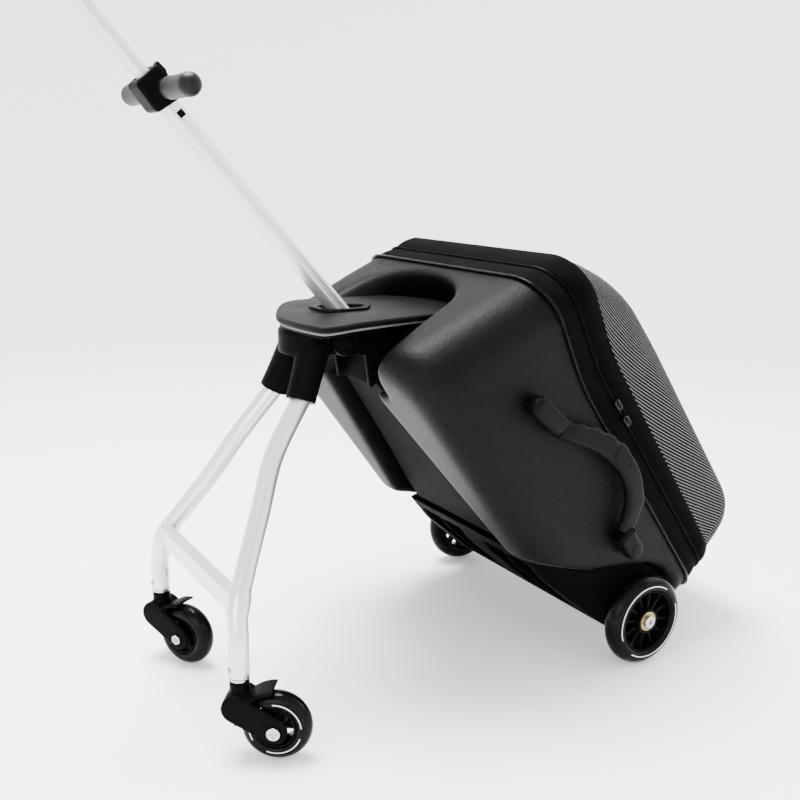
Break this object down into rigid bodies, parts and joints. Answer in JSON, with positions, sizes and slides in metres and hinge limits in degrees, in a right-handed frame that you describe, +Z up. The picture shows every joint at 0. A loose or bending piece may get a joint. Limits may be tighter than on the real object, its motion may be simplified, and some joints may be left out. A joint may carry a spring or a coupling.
{
  "type": "ride-on suitcase",
  "caption": "Upright case on two rear wheels with a fold-out front leg frame on swivelling castors, a flat seat plate and a telescopic pole with a T-bar.",
  "frame": {"origin": "centre of the footprint's bounding box, on the floor", "axes": "+Z up, the rider faces -Y, +X is the rider's left, where the carry handle is"},
  "size_m": [0.368, 0.8244, 0.8156],
  "materials": {
    "shell_black": "leather-grained, soft sheen",
    "fabric_black": "ribbed, dull",
    "mesh_grey": "black mesh with rows of light grey dashes",
    "plastic_black": "satin",
    "rubber_black": "satin",
    "tyre_black": "glossy polyurethane",
    "silver": "satin anodised",
    "leg_silver": "pale silver powder coat",
    "steel": "bright",
    "brass": "satin",
    "layer_grey": "dull"
  },
  "bodies": {
    "case": {"rear_shell": "shell_black", "piping_bead": "plastic_black", "shell_gusset": "fabric_black", "zip_chain": "plastic_black", "lid_hinge_tape": "fabric_black", "handle_cap_upper": "rubber_black", "handle_cap_lower": "rubber_black", "spine": "plastic_black", "chassis": "plastic_black", "rear_axle": "steel", "rear_bolt_left": "steel", "rear_bolt_right": "steel", "hinge_bracket": "plastic_black", "pivot_pin": "steel", "pivot_cap_left": "plastic_black", "pivot_cap_right": "plastic_black", "catch_pin": "steel", "seat_plate": "plastic_black", "seat_underlayer": "layer_grey", "pole_grommet": "rubber_black"},
    "lid": {"lid_gusset": "fabric_black", "lid_panel": "mesh_grey", "lid_liner": "fabric_black"},
    "slider_1": {"zip_slider_1": "steel", "zip_pull_1": "steel"},
    "slider_2": {"zip_slider_2": "steel", "zip_pull_2": "steel"},
    "carry_handle": {"carry_grip": "rubber_black"},
    "leg_frame": {"leg_yoke": "plastic_black", "leg_tube_left": "leg_silver", "leg_tube_right": "leg_silver", "crossbar": "leg_silver", "leg_rivet_left": "steel", "leg_rivet_right": "steel", "tube_end_ring_left": "steel", "tube_end_ring_right": "steel"},
    "castor_left": {"castor_fork_left": "plastic_black", "castor_bolt_left": "steel"},
    "castor_right": {"castor_fork_right": "plastic_black", "castor_bolt_right": "steel"},
    "castor_wheel_left": {"castor_tyre_left": "tyre_black", "castor_hub_left": "plastic_black"},
    "castor_wheel_right": {"castor_tyre_right": "tyre_black", "castor_hub_right": "plastic_black"},
    "rear_wheel_left": {"rear_tyre_left": "tyre_black", "rear_hub_left": "plastic_black", "rear_bearing_left": "brass"},
    "rear_wheel_right": {"rear_tyre_right": "tyre_black", "rear_hub_right": "plastic_black", "rear_bearing_right": "brass"},
    "outer_tube": {"pole_outer": "silver", "t_bar_collar": "plastic_black", "t_grip_left": "rubber_black", "t_grip_right": "rubber_black"},
    "inner_tube": {"pole_inner": "silver", "pull_handle": "rubber_black"},
    "lever": {"collar_lever": "plastic_black"},
    "button": {"pull_button": "plastic_black"}
  },
  "joints": [
    {"name": "rear_wheel_left_spin", "type": "hinge", "parent": "case", "child": "rear_wheel_left", "pos_m": [0.171, 0.2489, 0.05], "axis": [1, 0, 0], "continuous": true},
    {"name": "rear_wheel_right_spin", "type": "hinge", "parent": "case", "child": "rear_wheel_right", "pos_m": [-0.171, 0.2489, 0.05], "axis": [1, 0, 0], "continuous": true},
    {"name": "leg_fold", "type": "hinge", "parent": "case", "child": "leg_frame", "pos_m": [0, -0.0411, 0.36], "axis": [1, 0, 0], "range_deg": [0, 50]},
    {"name": "castor_left_swivel", "type": "hinge", "parent": "leg_frame", "child": "castor_left", "pos_m": [0.11, -0.1937, 0.0754], "axis": [0, 0, 1], "continuous": true},
    {"name": "castor_right_swivel", "type": "hinge", "parent": "leg_frame", "child": "castor_right", "pos_m": [-0.11, -0.1937, 0.0754], "axis": [0, 0, 1], "continuous": true},
    {"name": "castor_left_spin", "type": "hinge", "parent": "castor_left", "child": "castor_wheel_left", "pos_m": [0.13046, -0.16655, 0.033], "axis": [0.7986, -0.6018, 0], "continuous": true},
    {"name": "castor_right_spin", "type": "hinge", "parent": "castor_right", "child": "castor_wheel_right", "pos_m": [-0.08056, -0.1767, 0.033], "axis": [0.5, -0.866, 0], "continuous": true},
    {"name": "pole_slide", "type": "slide", "parent": "case", "child": "outer_tube", "axis": [0, 0.6561, -0.7547], "range_m": [0, 0.215]},
    {"name": "handle_slide", "type": "slide", "parent": "outer_tube", "child": "inner_tube", "axis": [0, 0.6561, -0.7547], "range_m": [0, 0.195]},
    {"name": "collar_lever_flip", "type": "hinge", "parent": "outer_tube", "child": "lever", "pos_m": [0, -0.19847, 0.60153], "axis": [-1, 0, 0], "range_deg": [0, 35]},
    {"name": "pull_button_press", "type": "slide", "parent": "inner_tube", "child": "button", "axis": [0, 0.6561, -0.7547], "range_m": [0, 0.003], "stiffness_N_per_m": 800},
    {"name": "carry_handle_swing", "type": "hinge", "parent": "case", "child": "carry_handle", "pos_m": [0.1745, 0.16109, 0.22105], "axis": [0, 0.5878, -0.809], "range_deg": [0, 90]},
    {"name": "lid_open", "type": "hinge", "parent": "case", "child": "lid", "pos_m": [-0.1705, 0.22764, 0.25705], "axis": [0, -0.5878, 0.809], "range_deg": [0, 90]},
    {"name": "zip_slider_1_slide", "type": "slide", "parent": "case", "child": "slider_1", "axis": [0, 0.5878, -0.809], "range_m": [-0.03, 0]},
    {"name": "zip_slider_2_slide", "type": "slide", "parent": "case", "child": "slider_2", "axis": [0, 0.5878, -0.809], "range_m": [0, 0.17]}
  ]
}
